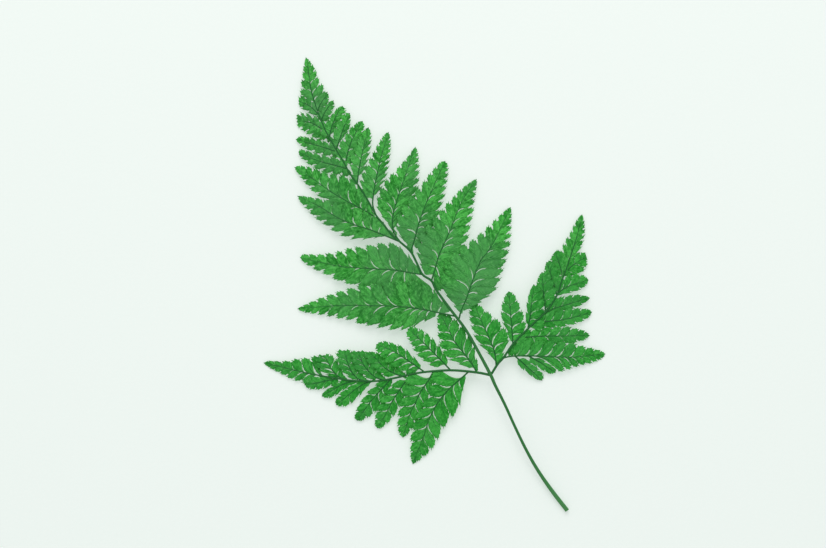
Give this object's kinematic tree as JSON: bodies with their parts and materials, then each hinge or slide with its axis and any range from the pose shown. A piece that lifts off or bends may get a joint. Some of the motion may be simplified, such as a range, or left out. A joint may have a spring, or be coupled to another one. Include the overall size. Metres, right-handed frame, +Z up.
{
  "type": "preserved fern frond",
  "caption": "Flat triangular preserved fern frond with a bare curved stalk, pinnae along both sides, and leaflets cut to the ribs with toothed ends. Lies down.",
  "frame": {"origin": "middle of the frond's box, on the surface that it lies on", "axes": "+Y along the frond, from the cut end of the stalk to the apex; +Z up from the surface; +X to the right seen from above"},
  "size_m": [0.175, 0.2614, 0.0088],
  "materials": {
    "dyed_fern_leaf": "satin"
  },
  "bodies": {
    "root": {"fern_frond": "dyed_fern_leaf"}
  },
  "joints": []
}
